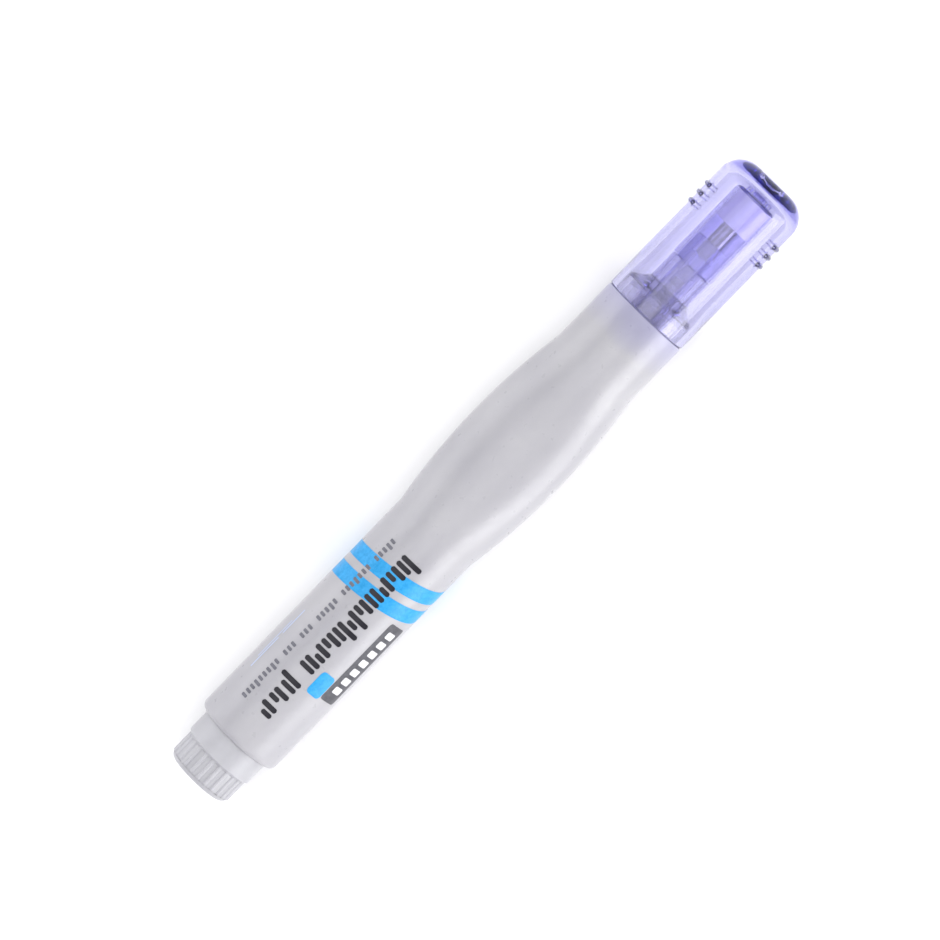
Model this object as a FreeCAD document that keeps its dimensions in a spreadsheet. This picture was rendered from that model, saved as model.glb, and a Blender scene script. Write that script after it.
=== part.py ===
"""Squeeze-type correction pen: a translucent bottle with a pinched grip, a metal tip closed by
a sprung valve needle, a double-walled pull-off cap and a fluted end plug.

The pen lies along X on the plane Z = 0, with its cap towards +X. The origin is below the middle
of its length. Sizes are millimetres. The sheet dims holds the driving dimensions, and the sheet
layout the radii and the places along X that follow from them.
"""

import FreeCAD
import Part
import Sketcher

import math
import os
import re

VECTOR = FreeCAD.Vector
ORIGIN_POINT = (-1, 1)  # a sketch's origin
H_AXIS = -1
V_AXIS = -2
START, END, CENTRE = 1, 2, 3  # the points of a sketch's line or circle
NEAR = 1e-4  # lengths closer than this are the same
GRIP_SPANS = 8  # the grip's skin passes through one section more than this

DIMS = {
    # the bottle, rear to front
    "barrel_length": 46.8,
    "barrel_radius": 7.8,
    "grip_length": 37.1,
    "grip_bulge": 1.5,  # how far the grip's sides stand out past the barrel
    "grip_pinch": 1.4,  # how far its two squeezed faces lie inside it
    "front_length": 11.8,
    "bottle_wall": 1.1,
    "rear_rim_round": 0.9,
    "shoulder_round": 0.25,
    "seat_wall": 1.6,  # the wall where the end plug seats
    "seat_length": 7.6,
    "seat_cone_length": 1.2,
    "spigot_length": 3.2,
    "spigot_wall": 1.1,
    "neck_length": 1.4,  # how far the spigot's bore reaches behind the shoulder
    "neck_cone_length": 1.2,
    "snap_bead_radius": 0.3,
    "snap_bead_height": 0.08,
    # the end plug
    "knob_length": 9.4,
    "plug_lip": 0.25,  # how far the knob covers the bottle's rear rim
    "collar_length": 4.2,  # the smooth part of the knob
    "collar_cone_length": 0.5,
    "flute_step": 0.6,  # how far the fluted part is turned down
    "flute_count": 24,
    "flute_radius": 0.42,
    "flute_height": 0.24,
    "flute_start": 0.7,
    "plug_end_round": 0.9,
    "plug_floor": 1.4,
    "plug_wall": 0.95,
    "plug_skirt_length": 6.8,
    "plug_clearance": 0.08,
    "seal_bead_radius": 0.3,
    "seal_bead_height": 0.04,
    "seal_bead_pitch": 3.0,
    "seal_bead_setback": 1.6,  # from the skirt's end to the nearest bead
    "gate_dimple_radius": 1.4,
    "gate_dimple_depth": 0.3,
    # the nozzle body
    "press_gap": 0.02,  # between pieces pressed together for good
    "skirt_length": 4.0,
    "skirt_wall": 0.9,
    "skirt_recess": 3.0,
    "nozzle_boss_wall": 0.8,
    "flange_inset": 0.1,
    "flange_edge": 0.4,
    "cone_length": 2.4,  # from the spigot's end to the base, flange edge included
    "base_length": 5.1,
    "base_wall": 1.6,
    "base_chamfer": 0.2,
    # the tip carrier
    "head_length": 5.2,
    "head_wall": 1.7,
    "head_chamfer": 0.35,
    "shank_length": 15.4,
    "shank_wall": 1.0,
    "chamber_gap": 0.35,  # fluid passage round the needle's collar
    "chamber_front_wall": 1.5,
    # the metal tip
    "tip_shank_length": 2.8,
    "tip_length": 3.9,
    "tip_taper_length": 1.1,
    "snout_length": 1.2,
    "snout_radius": 0.75,
    "snout_round": 0.15,
    "tip_wall": 0.55,
    "flow_gap": 0.4,  # fluid passage round the needle
    "orifice_clearance": 0.08,
    "valve_cone_length": 1.2,
    "valve_cone_setback": 1.8,  # from the snout's face to the valve cone's small end
    "valve_gap": 0.03,
    # the valve needle, its collar, its spring and the spring's retainer
    "needle_radius": 0.55,
    "needle_point_radius": 0.26,
    "needle_point_round": 0.12,
    "needle_projection": 0.25,
    "needle_tail_radius": 0.4,
    "guide_overlap": 1.2,  # how far the tail reaches into the retainer
    "guide_clearance": 0.08,
    "collar_radius": 1.0,
    "collar_thickness": 1.2,
    "collar_setback": 3.8,  # from the nozzle's front face to the collar's back
    "spring_wire_radius": 0.11,
    "spring_radius": 0.8,  # to the middle of the wire
    "spring_turns": 9,
    "spring_gap": 0.03,
    "retainer_length": 2.5,
    "retainer_lip": 0.4,  # how much wider than the spring's chamber it is
    "retainer_hole_count": 4,
    "retainer_hole_radius": 0.34,
    "retainer_hole_circle": 1.18,
    # the agitator ball
    "ball_radius": 2.25,
    "ball_gap": 0.05,
    "ball_place": 26.6,  # in front of the bottle's rear rim
    # the cap
    "cap_step": 0.1,  # how far the cap stands out past the barrel
    "cap_wall": 1.4,
    "cap_mouth_wall": 1.1,
    "cap_mouth_extra": 0.8,  # how much deeper the mouth's bore is than the spigot
    "cap_mouth_cone": 3.5,
    "cap_mouth_chamfer": 0.25,
    "cap_clearance": 0.15,
    "shoulder_gap": 0.1,
    "cap_end_wall": 2.3,
    "cap_end_round": 4.2,
    "cap_ceiling_round": 2.2,
    "rib_radius": 0.45,
    "rib_height": 0.35,
    "rib_pitch": 1.9,
    "rib_setback": 7.6,  # from the cap's end to the nearest rib
    "rib_arc": 56,  # degrees
    "boss_height": 1.3,
    "boss_wall": 0.7,
    "boss_slot_pairs": 3,
    "boss_slot_width": 0.9,
    # the inner cap and the tip seal
    "inner_cap_wall": 0.75,
    "inner_cap_clearance": 0.15,
    "inner_cap_end_wall": 1.0,
    "inner_cap_round": 1.2,
    "inner_cap_mouth_gap": 0.2,
    "peg_radius": 1.9,
    "peg_end_gap": 0.1,
    "seal_clearance": 0.1,
    "seal_well_extra": 0.5,  # how far the well reaches past the needle's point
    "seal_floor": 2.45,
}

LAYOUT = {
    # radii, from the needle outwards
    "tip_bore": "needle_radius + flow_gap",
    "tip_radius": "tip_bore + tip_wall",
    "orifice_radius": "needle_point_radius + orifice_clearance",
    "head_radius": "tip_radius + head_wall",
    "chamber_radius": "collar_radius + chamber_gap",
    "retainer_radius": "chamber_radius + retainer_lip",
    "shank_radius": "chamber_radius + shank_wall",
    "shank_bore": "shank_radius + press_gap",
    "base_radius": "shank_bore + base_wall",
    "inner_cap_bore": "head_radius + inner_cap_clearance",
    "inner_cap_radius": "inner_cap_bore + inner_cap_wall",
    "seal_radius": "inner_cap_bore - press_gap",
    # radii, from the barrel inwards
    "cap_radius": "barrel_radius + cap_step",
    "cap_bore": "cap_radius - cap_wall",
    "cap_mouth_bore": "cap_radius - cap_mouth_wall",
    "spigot_radius": "cap_mouth_bore - cap_clearance",
    "spigot_bore": "spigot_radius - spigot_wall",
    "skirt_radius": "spigot_bore - press_gap",
    "flange_radius": "spigot_radius - flange_inset",
    "cavity_radius": "barrel_radius - bottle_wall",
    "seat_radius": "barrel_radius - seat_wall",
    "knob_radius": "seat_radius + plug_lip",
    "fluted_radius": "knob_radius - flute_step",
    "plug_skirt_radius": "seat_radius - plug_clearance",
    "axis_height": "cap_radius",
    # lengths
    "body_length": "barrel_length + grip_length + front_length",
    "bottle_length": "body_length + spigot_length",
    "plug_length": "knob_length + plug_skirt_length",
    "needle_reach": "tip_length + tip_taper_length + snout_length + needle_projection",
    "inner_cap_depth": "head_length - inner_cap_mouth_gap + needle_reach + seal_well_extra + seal_floor",
    "inner_cap_length": "inner_cap_depth + inner_cap_end_wall",
    "mouth_depth": "spigot_length + cap_mouth_extra",
    "cap_depth": "spigot_length - shoulder_gap + cone_length + base_length + inner_cap_mouth_gap"
    " + inner_cap_length + boss_height",
    "cap_length": "cap_depth + cap_end_wall",
    "total_length": "knob_length + body_length + shoulder_gap + cap_length",
    # places along X, rear to front
    "rear_at": "-total_length / 2",
    "rim_at": "rear_at + knob_length",
    "ball_at": "rim_at + ball_place",
    "shoulder_at": "rim_at + body_length",
    "spigot_end_at": "shoulder_at + spigot_length",
    "step_at": "spigot_end_at + cone_length + base_length",
    "tail_at": "step_at - shank_length",
    "retainer_end_at": "tail_at + retainer_length",
    "needle_tail_at": "retainer_end_at - guide_overlap",
    "collar_at": "step_at - collar_setback",
    "head_end_at": "step_at + head_length",
    "tip_shank_at": "head_end_at - tip_shank_length",
    "snout_end_at": "head_end_at + tip_length + tip_taper_length + snout_length",
    "needle_point_at": "snout_end_at + needle_projection",
    "valve_cone_end_at": "snout_end_at - valve_cone_setback",
    "valve_cone_at": "valve_cone_end_at - valve_cone_length",
    # the needle's shoulder stops where the valve cone is one gap wider than the needle
    "valve_slope": "(tip_bore - orifice_radius) / valve_cone_length",
    "needle_shoulder_at": "valve_cone_at + (tip_bore - needle_radius - valve_gap) / valve_slope",
    "needle_cone_end_at": "needle_shoulder_at + (needle_radius - needle_point_radius) / valve_slope",
    "inner_cap_at": "step_at + inner_cap_mouth_gap",
    "seal_face_at": "head_end_at + tip_length",
    "cap_at": "shoulder_at + shoulder_gap",
}

DOC = FreeCAD.newDocument("correction_pen")


def bound(text):
    """The text as an expression, with each size's name led by its sheet's."""

    def sheeted(match):
        name = match.group()
        if name in DIMS:
            return "dims." + name
        if name in LAYOUT:
            return "layout." + name
        return name

    return re.sub(r"[a-z_]+", sheeted, text)


def value(text):
    """What the expression comes to now."""
    return float(DOC.dims.evalExpression(bound(text)))


def fill_sheets():
    dims = DOC.addObject("Spreadsheet::Sheet", "dims")
    for row, (name, size) in enumerate(DIMS.items(), 1):
        dims.set("A%d" % row, name)
        dims.set("B%d" % row, str(size))
        dims.setAlias("B%d" % row, name)
    DOC.recompute()
    layout = DOC.addObject("Spreadsheet::Sheet", "layout")
    for row, (name, rule) in enumerate(LAYOUT.items(), 1):
        layout.set("A%d" % row, name)
        layout.set("B%d" % row, "=" + bound(rule).replace("layout.", ""))
        layout.setAlias("B%d" % row, name)
    DOC.recompute()


# Sketches and features


def origin_of(body, role):
    return [item for item in body.Origin.OriginFeatures if item.Role == role][0]


def sketch_on(body, role, name, offset="0"):
    """A sketch on one of the body's origin planes, moved off it along its normal."""
    sketch = body.newObject("Sketcher::SketchObject", name)
    sketch.AttachmentSupport = [(origin_of(body, role), "")]
    sketch.MapMode = "FlatFace"
    if offset != "0":
        sketch.setExpression("AttachmentOffset.Base.z", bound(offset))
    return sketch


def fix(sketch, kind, item, point, size):
    """Hold a point of the sketch at a distance from its origin, across (X) or up (Y)."""
    if size == "0":
        axis = V_AXIS if kind == "DistanceX" else H_AXIS
        sketch.addConstraint(Sketcher.Constraint("PointOnObject", item, point, axis))
        return
    rule = Sketcher.Constraint(kind, *ORIGIN_POINT, item, point, value(size))
    number = sketch.addConstraint(rule)
    sketch.setExpression("Constraints[%d]" % number, bound(size))


def draw_outline(sketch, points):
    """A closed outline through points given as distance and radius."""
    count = len(points)
    corners = [VECTOR(value(along), value(radius), 0) for along, radius in points]
    for i in range(count):
        sketch.addGeometry(Part.LineSegment(corners[i], corners[(i + 1) % count]))
    for i in range(count):
        sketch.addConstraint(Sketcher.Constraint("Coincident", i, END, (i + 1) % count, START))
    for i, (along, radius) in enumerate(points):
        fix(sketch, "DistanceX", i, START, along)
        fix(sketch, "DistanceY", i, START, radius)


def draw_circle(sketch, across, up, radius):
    centre = VECTOR(value(across), value(up), 0)
    item = sketch.addGeometry(Part.Circle(centre, VECTOR(0, 0, 1), value(radius)))
    fix(sketch, "DistanceX", item, CENTRE, across)
    fix(sketch, "DistanceY", item, CENTRE, up)
    number = sketch.addConstraint(Sketcher.Constraint("Radius", item, value(radius)))
    sketch.setExpression("Constraints[%d]" % number, bound(radius))


def new_body(label):
    body = DOC.addObject("PartDesign::Body", label)
    body.Label = label
    return body


def turned(label, points):
    """A body turned about X from an outline. Its own X starts at the outline's distance 0."""
    body = new_body(label)
    sketch = sketch_on(body, "XZ_Plane", label + "_outline")
    draw_outline(sketch, points)
    turning = body.newObject("PartDesign::Revolution", label + "_turning")
    turning.Profile = sketch
    turning.ReferenceAxis = (sketch, ["H_Axis"])
    turning.Angle = 360
    DOC.recompute()
    return body


def rims(shape, along, radius):
    """Names of the circular edges about X at a distance and radius."""
    names = []
    for number, edge in enumerate(shape.Edges, 1):
        curve = edge.Curve
        if not isinstance(curve, Part.Circle):
            continue
        if abs(curve.Center.x - value(along)) < NEAR and abs(curve.Radius - value(radius)) < NEAR:
            names.append("Edge%d" % number)
    return names


def eased(body, kind, size, places):
    """Round (Fillet) or bevel (Chamfer) the rims at the places given as distance and radius."""
    base = body.Tip
    edges = [name for along, radius in places for name in rims(base.Shape, along, radius)]
    easing = body.newObject("PartDesign::" + kind, "%s_%s" % (body.Label, kind.lower()))
    easing.Base = (base, edges)
    easing.setExpression("Radius" if kind == "Fillet" else "Size", bound(size))
    DOC.recompute()


def repeated_round_x(body, feature, count):
    pattern = body.newObject("PartDesign::PolarPattern", feature.Name + "_ring")
    pattern.Originals = [feature]
    pattern.Axis = (origin_of(body, "X_Axis"), [""])
    pattern.Angle = 360
    pattern.setExpression("Occurrences", bound(count))
    body.Tip = pattern
    DOC.recompute()


def cut_in_front(body, sketch, depth, name):
    """Pocket the sketch towards +X."""
    before = body.Shape.Volume
    pocket = body.newObject("PartDesign::Pocket", name)
    pocket.Profile = sketch
    pocket.Reversed = True
    pocket.setExpression("Length", bound(depth))
    DOC.recompute()
    if body.Shape.Volume >= before:
        raise RuntimeError(name + " cuts nothing")
    return pocket


def bead_round(body, along, ring_radius, bead_radius, name):
    """A rounded bead right round the body at a distance along X."""
    sketch = sketch_on(body, "XZ_Plane", name + "_section")
    draw_circle(sketch, along, ring_radius, bead_radius)
    bead = body.newObject("PartDesign::Revolution", name)
    bead.Profile = sketch
    bead.ReferenceAxis = (sketch, ["H_Axis"])
    bead.Angle = 360
    DOC.recompute()


def put(piece, along="0"):
    """Place a piece on the pen's axis, its own X starting at a place along the pen."""
    piece.setExpression("Placement.Base.x", bound(along))
    piece.setExpression("Placement.Base.z", bound("axis_height"))
    return piece


# The bottle


def grip_section(name, share, wall):
    """One elliptical section of the grip, a share of the way along it."""
    width = 4 * share * (1 - share)
    pinch = math.sin(math.pi * share) ** 2
    section = DOC.addObject("Part::Ellipse", name)
    section.Placement.Rotation = FreeCAD.Rotation(VECTOR(0, 1, 0), VECTOR(0, 0, 1), VECTOR(1, 0, 0), "XYZ")
    section.setExpression("Placement.Base.x", bound("barrel_length + grip_length * %r" % share))
    section.setExpression("MajorRadius", bound("barrel_radius - %s + grip_bulge * %r" % (wall, width)))
    section.setExpression("MinorRadius", bound("barrel_radius - %s - grip_pinch * %r" % (wall, pinch)))
    return section


def grip_solid(name, wall):
    """The grip, or its cavity where the wall is left off."""
    shares = [i / GRIP_SPANS for i in range(GRIP_SPANS + 1)]
    loft = DOC.addObject("Part::Loft", name)
    loft.Sections = [grip_section("%s_%d" % (name, i), share, wall) for i, share in enumerate(shares)]
    loft.Solid = True
    DOC.recompute()
    return loft


def bottle_rear_skin():
    body = turned("bottle_rear", [
        ("0", "0"),
        ("0", "barrel_radius"),
        ("barrel_length", "barrel_radius"),
        ("barrel_length", "0"),
    ])
    eased(body, "Fillet", "rear_rim_round", [("0", "barrel_radius")])
    return body


def bottle_front_skin():
    grip_end = "barrel_length + grip_length"
    body = turned("bottle_front", [
        (grip_end, "0"),
        (grip_end, "barrel_radius"),
        ("body_length", "barrel_radius"),
        ("body_length", "spigot_radius"),
        ("bottle_length", "spigot_radius"),
        ("bottle_length", "0"),
    ])
    eased(body, "Fillet", "shoulder_round", [("body_length", "barrel_radius")])
    bead_at = "body_length + spigot_length / 2"
    bead_ring = "spigot_radius + snap_bead_height - snap_bead_radius"
    bead_round(body, bead_at, bead_ring, "snap_bead_radius", "snap_bead")
    return body


def bottle_rear_cavity():
    return turned("rear_cavity", [
        ("0", "0"),
        ("0", "seat_radius"),
        ("seat_length", "seat_radius"),
        ("seat_length + seat_cone_length", "cavity_radius"),
        ("barrel_length", "cavity_radius"),
        ("barrel_length", "0"),
    ])


def bottle_front_cavity():
    grip_end = "barrel_length + grip_length"
    neck_at = "body_length - neck_length"
    return turned("front_cavity", [
        (grip_end, "0"),
        (grip_end, "cavity_radius"),
        (neck_at + " - neck_cone_length", "cavity_radius"),
        (neck_at, "spigot_bore"),
        ("bottle_length", "spigot_bore"),
        ("bottle_length", "0"),
    ])


def make_bottle():
    skin = DOC.addObject("Part::MultiFuse", "bottle_skin")
    skin.Shapes = [bottle_rear_skin(), grip_solid("grip_skin", "0"), bottle_front_skin()]
    cavity = DOC.addObject("Part::MultiFuse", "bottle_cavity")
    cavity.Shapes = [bottle_rear_cavity(), grip_solid("grip_cavity", "bottle_wall"), bottle_front_cavity()]
    bottle = DOC.addObject("Part::Cut", "bottle")
    bottle.Base = skin
    bottle.Tool = cavity
    return put(bottle, "rim_at")


# The end plug


def make_end_plug():
    hollow = "plug_skirt_radius - plug_wall"
    collar_at = "knob_length - collar_length"
    body = turned("end_plug", [
        ("gate_dimple_depth", "0"),
        ("gate_dimple_depth", "gate_dimple_radius"),
        ("0", "gate_dimple_radius"),
        ("0", "fluted_radius"),
        (collar_at + " - collar_cone_length", "fluted_radius"),
        (collar_at, "knob_radius"),
        ("knob_length", "knob_radius"),
        ("knob_length", "plug_skirt_radius"),
        ("plug_length", "plug_skirt_radius"),
        ("plug_length", hollow),
        ("plug_floor", hollow),
        ("plug_floor", "0"),
    ])
    eased(body, "Fillet", "plug_end_round", [("0", "fluted_radius")])
    bead_ring = "plug_skirt_radius + seal_bead_height - seal_bead_radius"
    for number in range(2):
        bead_at = "plug_length - seal_bead_setback - seal_bead_pitch * %d" % number
        bead_round(body, bead_at, bead_ring, "seal_bead_radius", "seal_bead_%d" % number)
    sketch = sketch_on(body, "YZ_Plane", "flute_section", "flute_start")
    draw_circle(sketch, "0", "fluted_radius + flute_height - flute_radius", "flute_radius")
    flute = body.newObject("PartDesign::Pad", "flute")
    flute.Profile = sketch
    flute.setExpression("Length", bound(collar_at + " - flute_start"))
    DOC.recompute()
    repeated_round_x(body, flute, "flute_count")
    return put(body, "rear_at")


# The nozzle


def make_nozzle_body():
    boss = "shank_bore + nozzle_boss_wall"
    front = "skirt_length + cone_length + base_length"
    body = turned("nozzle_body", [
        ("0", "shank_bore"),
        ("0", boss),
        ("skirt_recess", boss),
        ("skirt_recess", "skirt_radius - skirt_wall"),
        ("0", "skirt_radius - skirt_wall"),
        ("0", "skirt_radius"),
        ("skirt_length", "skirt_radius"),
        ("skirt_length", "flange_radius"),
        ("skirt_length + flange_edge", "flange_radius"),
        ("skirt_length + cone_length", "base_radius"),
        (front, "base_radius"),
        (front, "shank_bore"),
    ])
    eased(body, "Chamfer", "base_chamfer", [(front, "base_radius")])
    return put(body, "spigot_end_at - skirt_length")


def make_tip_carrier():
    seat = "retainer_radius + press_gap"
    socket = "tip_radius + press_gap"
    front = "shank_length + head_length"
    socket_at = front + " - tip_shank_length"
    chamber_end = "shank_length - chamber_front_wall"
    body = turned("tip_carrier", [
        ("0", seat),
        ("0", "shank_radius"),
        ("shank_length", "shank_radius"),
        ("shank_length", "head_radius"),
        (front, "head_radius"),
        (front, socket),
        (socket_at, socket),
        (socket_at, "tip_bore"),
        (chamber_end, "tip_bore"),
        (chamber_end, "chamber_radius"),
        ("retainer_length", "chamber_radius"),
        ("retainer_length", seat),
    ])
    eased(body, "Chamfer", "head_chamfer", [(front, "head_radius")])
    return put(body, "tail_at")


def make_metal_tip():
    taper_at = "tip_shank_length + tip_length"
    snout_at = taper_at + " + tip_taper_length"
    front = snout_at + " + snout_length"
    cone_end = front + " - valve_cone_setback"
    body = turned("metal_tip", [
        ("0", "tip_bore"),
        ("0", "tip_radius"),
        (taper_at, "tip_radius"),
        (snout_at, "snout_radius"),
        (front, "snout_radius"),
        (front, "orifice_radius"),
        (cone_end, "orifice_radius"),
        (cone_end + " - valve_cone_length", "tip_bore"),
    ])
    eased(body, "Fillet", "snout_round", [(front, "snout_radius")])
    return put(body, "tip_shank_at")


# The valve


def make_valve_needle():
    tail = "collar_at - needle_tail_at"
    point = "needle_point_at - needle_tail_at"
    body = turned("valve_needle", [
        ("0", "0"),
        ("0", "needle_tail_radius"),
        (tail, "needle_tail_radius"),
        (tail, "needle_radius"),
        ("needle_shoulder_at - needle_tail_at", "needle_radius"),
        ("needle_cone_end_at - needle_tail_at", "needle_point_radius"),
        (point, "needle_point_radius"),
        (point, "0"),
    ])
    eased(body, "Fillet", "needle_point_round", [(point, "needle_point_radius")])
    return put(body, "needle_tail_at")


def make_needle_collar():
    body = turned("needle_collar", [
        ("0", "needle_radius + press_gap"),
        ("0", "collar_radius"),
        ("collar_thickness", "collar_radius"),
        ("collar_thickness", "needle_radius + press_gap"),
    ])
    return put(body, "collar_at")


def make_valve_spring():
    """A coil from the retainer's face to the needle's collar, whole turns of round wire."""
    body = new_body("valve_spring")
    sketch = sketch_on(body, "XZ_Plane", "spring_wire")
    draw_circle(sketch, "spring_wire_radius", "spring_radius", "spring_wire_radius")
    coil = body.newObject("PartDesign::AdditiveHelix", "spring_coil")
    coil.Profile = sketch
    coil.ReferenceAxis = (sketch, ["H_Axis"])
    coil.Mode = "height-turns-growth"
    room = "collar_at - retainer_end_at - 2 * spring_gap - 2 * spring_wire_radius"
    coil.setExpression("Height", bound(room))
    coil.setExpression("Turns", bound("spring_turns"))
    DOC.recompute()
    return put(body, "retainer_end_at + spring_gap")


def make_spring_retainer():
    guide = "needle_tail_radius + guide_clearance"
    body = turned("spring_retainer", [
        ("0", guide),
        ("0", "retainer_radius"),
        ("retainer_length", "retainer_radius"),
        ("retainer_length", guide),
    ])
    sketch = sketch_on(body, "YZ_Plane", "retainer_hole_section")
    draw_circle(sketch, "0", "retainer_hole_circle", "retainer_hole_radius")
    hole = cut_in_front(body, sketch, "retainer_length", "retainer_hole")
    repeated_round_x(body, hole, "retainer_hole_count")
    return put(body, "tail_at")


def make_agitator_ball():
    """A steel ball on the floor of the barrel's cavity."""
    ball = DOC.addObject("Part::Sphere", "agitator_ball")
    ball.setExpression("Radius", bound("ball_radius"))
    ball.setExpression("Placement.Base.x", bound("ball_at"))
    height = "axis_height - cavity_radius + ball_radius + ball_gap"
    ball.setExpression("Placement.Base.z", bound(height))
    return ball


# The cap


def add_grip_ribs(body):
    """Three short ribs on each side of the cap, each an arc of a rounded bead."""
    sketch = sketch_on(body, "XY_Plane", "rib_sections")
    for number in range(3):
        rib_at = "cap_length - rib_setback - rib_pitch * %d" % number
        draw_circle(sketch, rib_at, "cap_radius + rib_height - rib_radius", "rib_radius")
    ribs = body.newObject("PartDesign::Revolution", "ribs")
    ribs.Profile = sketch
    ribs.ReferenceAxis = (sketch, ["H_Axis"])
    ribs.Midplane = True
    ribs.setExpression("Angle", bound("rib_arc"))
    DOC.recompute()
    both = body.newObject("PartDesign::Mirrored", "ribs_both_sides")
    both.Originals = [ribs]
    both.MirrorPlane = (origin_of(body, "XZ_Plane"), [""])
    body.Tip = both
    DOC.recompute()


def slot_boss(body):
    """Cut the ceiling's boss into a ring of springy fingers."""
    reach = "(peg_radius + boss_wall + boss_slot_width)"
    sketch = sketch_on(body, "YZ_Plane", "boss_slot_section", "cap_depth - boss_height")
    corners = [(-1, -1), (1, -1), (1, 1), (-1, 1)]
    spots = [VECTOR(a * value("boss_slot_width") / 2, b * value(reach), 0) for a, b in corners]
    for i in range(4):
        sketch.addGeometry(Part.LineSegment(spots[i], spots[(i + 1) % 4]))
        sketch.addConstraint(Sketcher.Constraint("Vertical" if i % 2 else "Horizontal", i))
    for i in range(4):
        sketch.addConstraint(Sketcher.Constraint("Coincident", i, END, (i + 1) % 4, START))
    middle = Sketcher.Constraint("Symmetric", 0, START, 2, START, *ORIGIN_POINT)
    sketch.addConstraint(middle)
    for item, kind, size in ((0, "Distance", "boss_slot_width"), (1, "Distance", "2 * " + reach)):
        number = sketch.addConstraint(Sketcher.Constraint(kind, item, value(size)))
        sketch.setExpression("Constraints[%d]" % number, bound(size))
    slot = cut_in_front(body, sketch, "boss_height", "boss_slot")
    repeated_round_x(body, slot, "boss_slot_pairs")


def make_cap_shell():
    boss = "peg_radius + press_gap"
    body = turned("cap_shell", [
        ("0", "cap_mouth_bore"),
        ("0", "cap_radius"),
        ("cap_length", "cap_radius"),
        ("cap_length", "0"),
        ("cap_depth", "0"),
        ("cap_depth", boss),
        ("cap_depth - boss_height", boss),
        ("cap_depth - boss_height", "peg_radius + boss_wall"),
        ("cap_depth", "peg_radius + boss_wall"),
        ("cap_depth", "cap_bore"),
        ("mouth_depth + cap_mouth_cone", "cap_bore"),
        ("mouth_depth", "cap_mouth_bore"),
    ])
    eased(body, "Fillet", "cap_end_round", [("cap_length", "cap_radius")])
    eased(body, "Fillet", "cap_ceiling_round", [("cap_depth", "cap_bore")])
    eased(body, "Chamfer", "cap_mouth_chamfer", [("0", "cap_radius")])
    slot_boss(body)
    add_grip_ribs(body)
    return put(body, "cap_at")


def make_inner_cap():
    peg_end = "inner_cap_length + boss_height - peg_end_gap"
    body = turned("inner_cap", [
        ("0", "inner_cap_bore"),
        ("0", "inner_cap_radius"),
        ("inner_cap_length", "inner_cap_radius"),
        ("inner_cap_length", "peg_radius"),
        (peg_end, "peg_radius"),
        (peg_end, "0"),
        ("inner_cap_depth", "0"),
        ("inner_cap_depth", "inner_cap_bore"),
    ])
    eased(body, "Fillet", "inner_cap_round", [("inner_cap_length", "inner_cap_radius")])
    return put(body, "inner_cap_at")


def make_tip_seal():
    """A soft pad in the inner cap's end, with a well for the metal tip."""
    well_end = "needle_point_at + seal_well_extra - seal_face_at"
    pad_end = "inner_cap_at + inner_cap_depth - seal_face_at"
    body = turned("tip_seal", [
        ("0", "tip_radius + seal_clearance"),
        ("0", "seal_radius"),
        (pad_end, "seal_radius"),
        (pad_end, "0"),
        (well_end, "0"),
        (well_end, "snout_radius + seal_clearance"),
        ("tip_taper_length", "snout_radius + seal_clearance"),
    ])
    return put(body, "seal_face_at")


def failed(item):
    return any(word in item.State for word in ("Invalid", "Error"))


def write_parts(pieces):
    DOC.recompute()
    broken = [item.Label for item in DOC.Objects if failed(item)]
    if broken:
        raise RuntimeError("failed objects: " + ", ".join(broken))
    for piece in pieces:
        if piece.Shape.isNull() or not piece.Shape.isValid():
            raise RuntimeError("bad shape: " + piece.Label)
    os.makedirs("parts", exist_ok=True)
    for piece in pieces:
        piece.Shape.exportStep("parts/%s.step" % piece.Label)
        print(piece.Label, round(piece.Shape.Volume, 3), len(piece.Shape.Solids))


fill_sheets()
write_parts([
    make_bottle(),
    make_end_plug(),
    make_nozzle_body(),
    make_tip_carrier(),
    make_metal_tip(),
    make_valve_needle(),
    make_needle_collar(),
    make_valve_spring(),
    make_spring_retainer(),
    make_agitator_ball(),
    make_cap_shell(),
    make_inner_cap(),
    make_tip_seal(),
])
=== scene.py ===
import math

import bmesh
import bpy
from mathutils import Matrix, Vector


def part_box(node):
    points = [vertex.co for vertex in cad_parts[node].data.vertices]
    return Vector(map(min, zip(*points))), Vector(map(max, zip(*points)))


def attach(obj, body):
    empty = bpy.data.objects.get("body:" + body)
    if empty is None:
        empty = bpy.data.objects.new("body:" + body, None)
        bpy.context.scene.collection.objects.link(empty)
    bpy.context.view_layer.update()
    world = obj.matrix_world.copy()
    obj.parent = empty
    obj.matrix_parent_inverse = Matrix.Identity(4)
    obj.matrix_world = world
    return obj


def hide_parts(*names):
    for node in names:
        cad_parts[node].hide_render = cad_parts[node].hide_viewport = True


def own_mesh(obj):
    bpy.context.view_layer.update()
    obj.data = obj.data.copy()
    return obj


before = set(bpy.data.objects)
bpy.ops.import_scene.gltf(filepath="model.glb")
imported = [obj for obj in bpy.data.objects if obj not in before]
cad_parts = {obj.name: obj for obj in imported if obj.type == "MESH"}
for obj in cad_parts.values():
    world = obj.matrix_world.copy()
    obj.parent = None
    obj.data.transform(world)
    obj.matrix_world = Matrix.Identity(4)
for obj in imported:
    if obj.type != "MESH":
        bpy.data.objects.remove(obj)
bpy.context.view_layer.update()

# Looks of the squeeze correction pen, which lies along X with its cap towards +X. Outlines are
# written in millimetres as distance along X and radius about the pen's axis.

MM = 0.001
TURN = 2 * math.pi
NEAR_AXIS = 1e-6
LIGHT_BOUNCES = 24

REAR_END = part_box("end_plug")[0].x / MM
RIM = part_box("bottle")[0].x / MM
SPIGOT_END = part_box("bottle")[1].x / MM
CAP_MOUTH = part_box("cap_shell")[0].x / MM
CAP_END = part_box("cap_shell")[1].x / MM
AXIS_HEIGHT = (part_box("inner_cap")[0].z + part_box("inner_cap")[1].z) / 2 / MM

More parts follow.
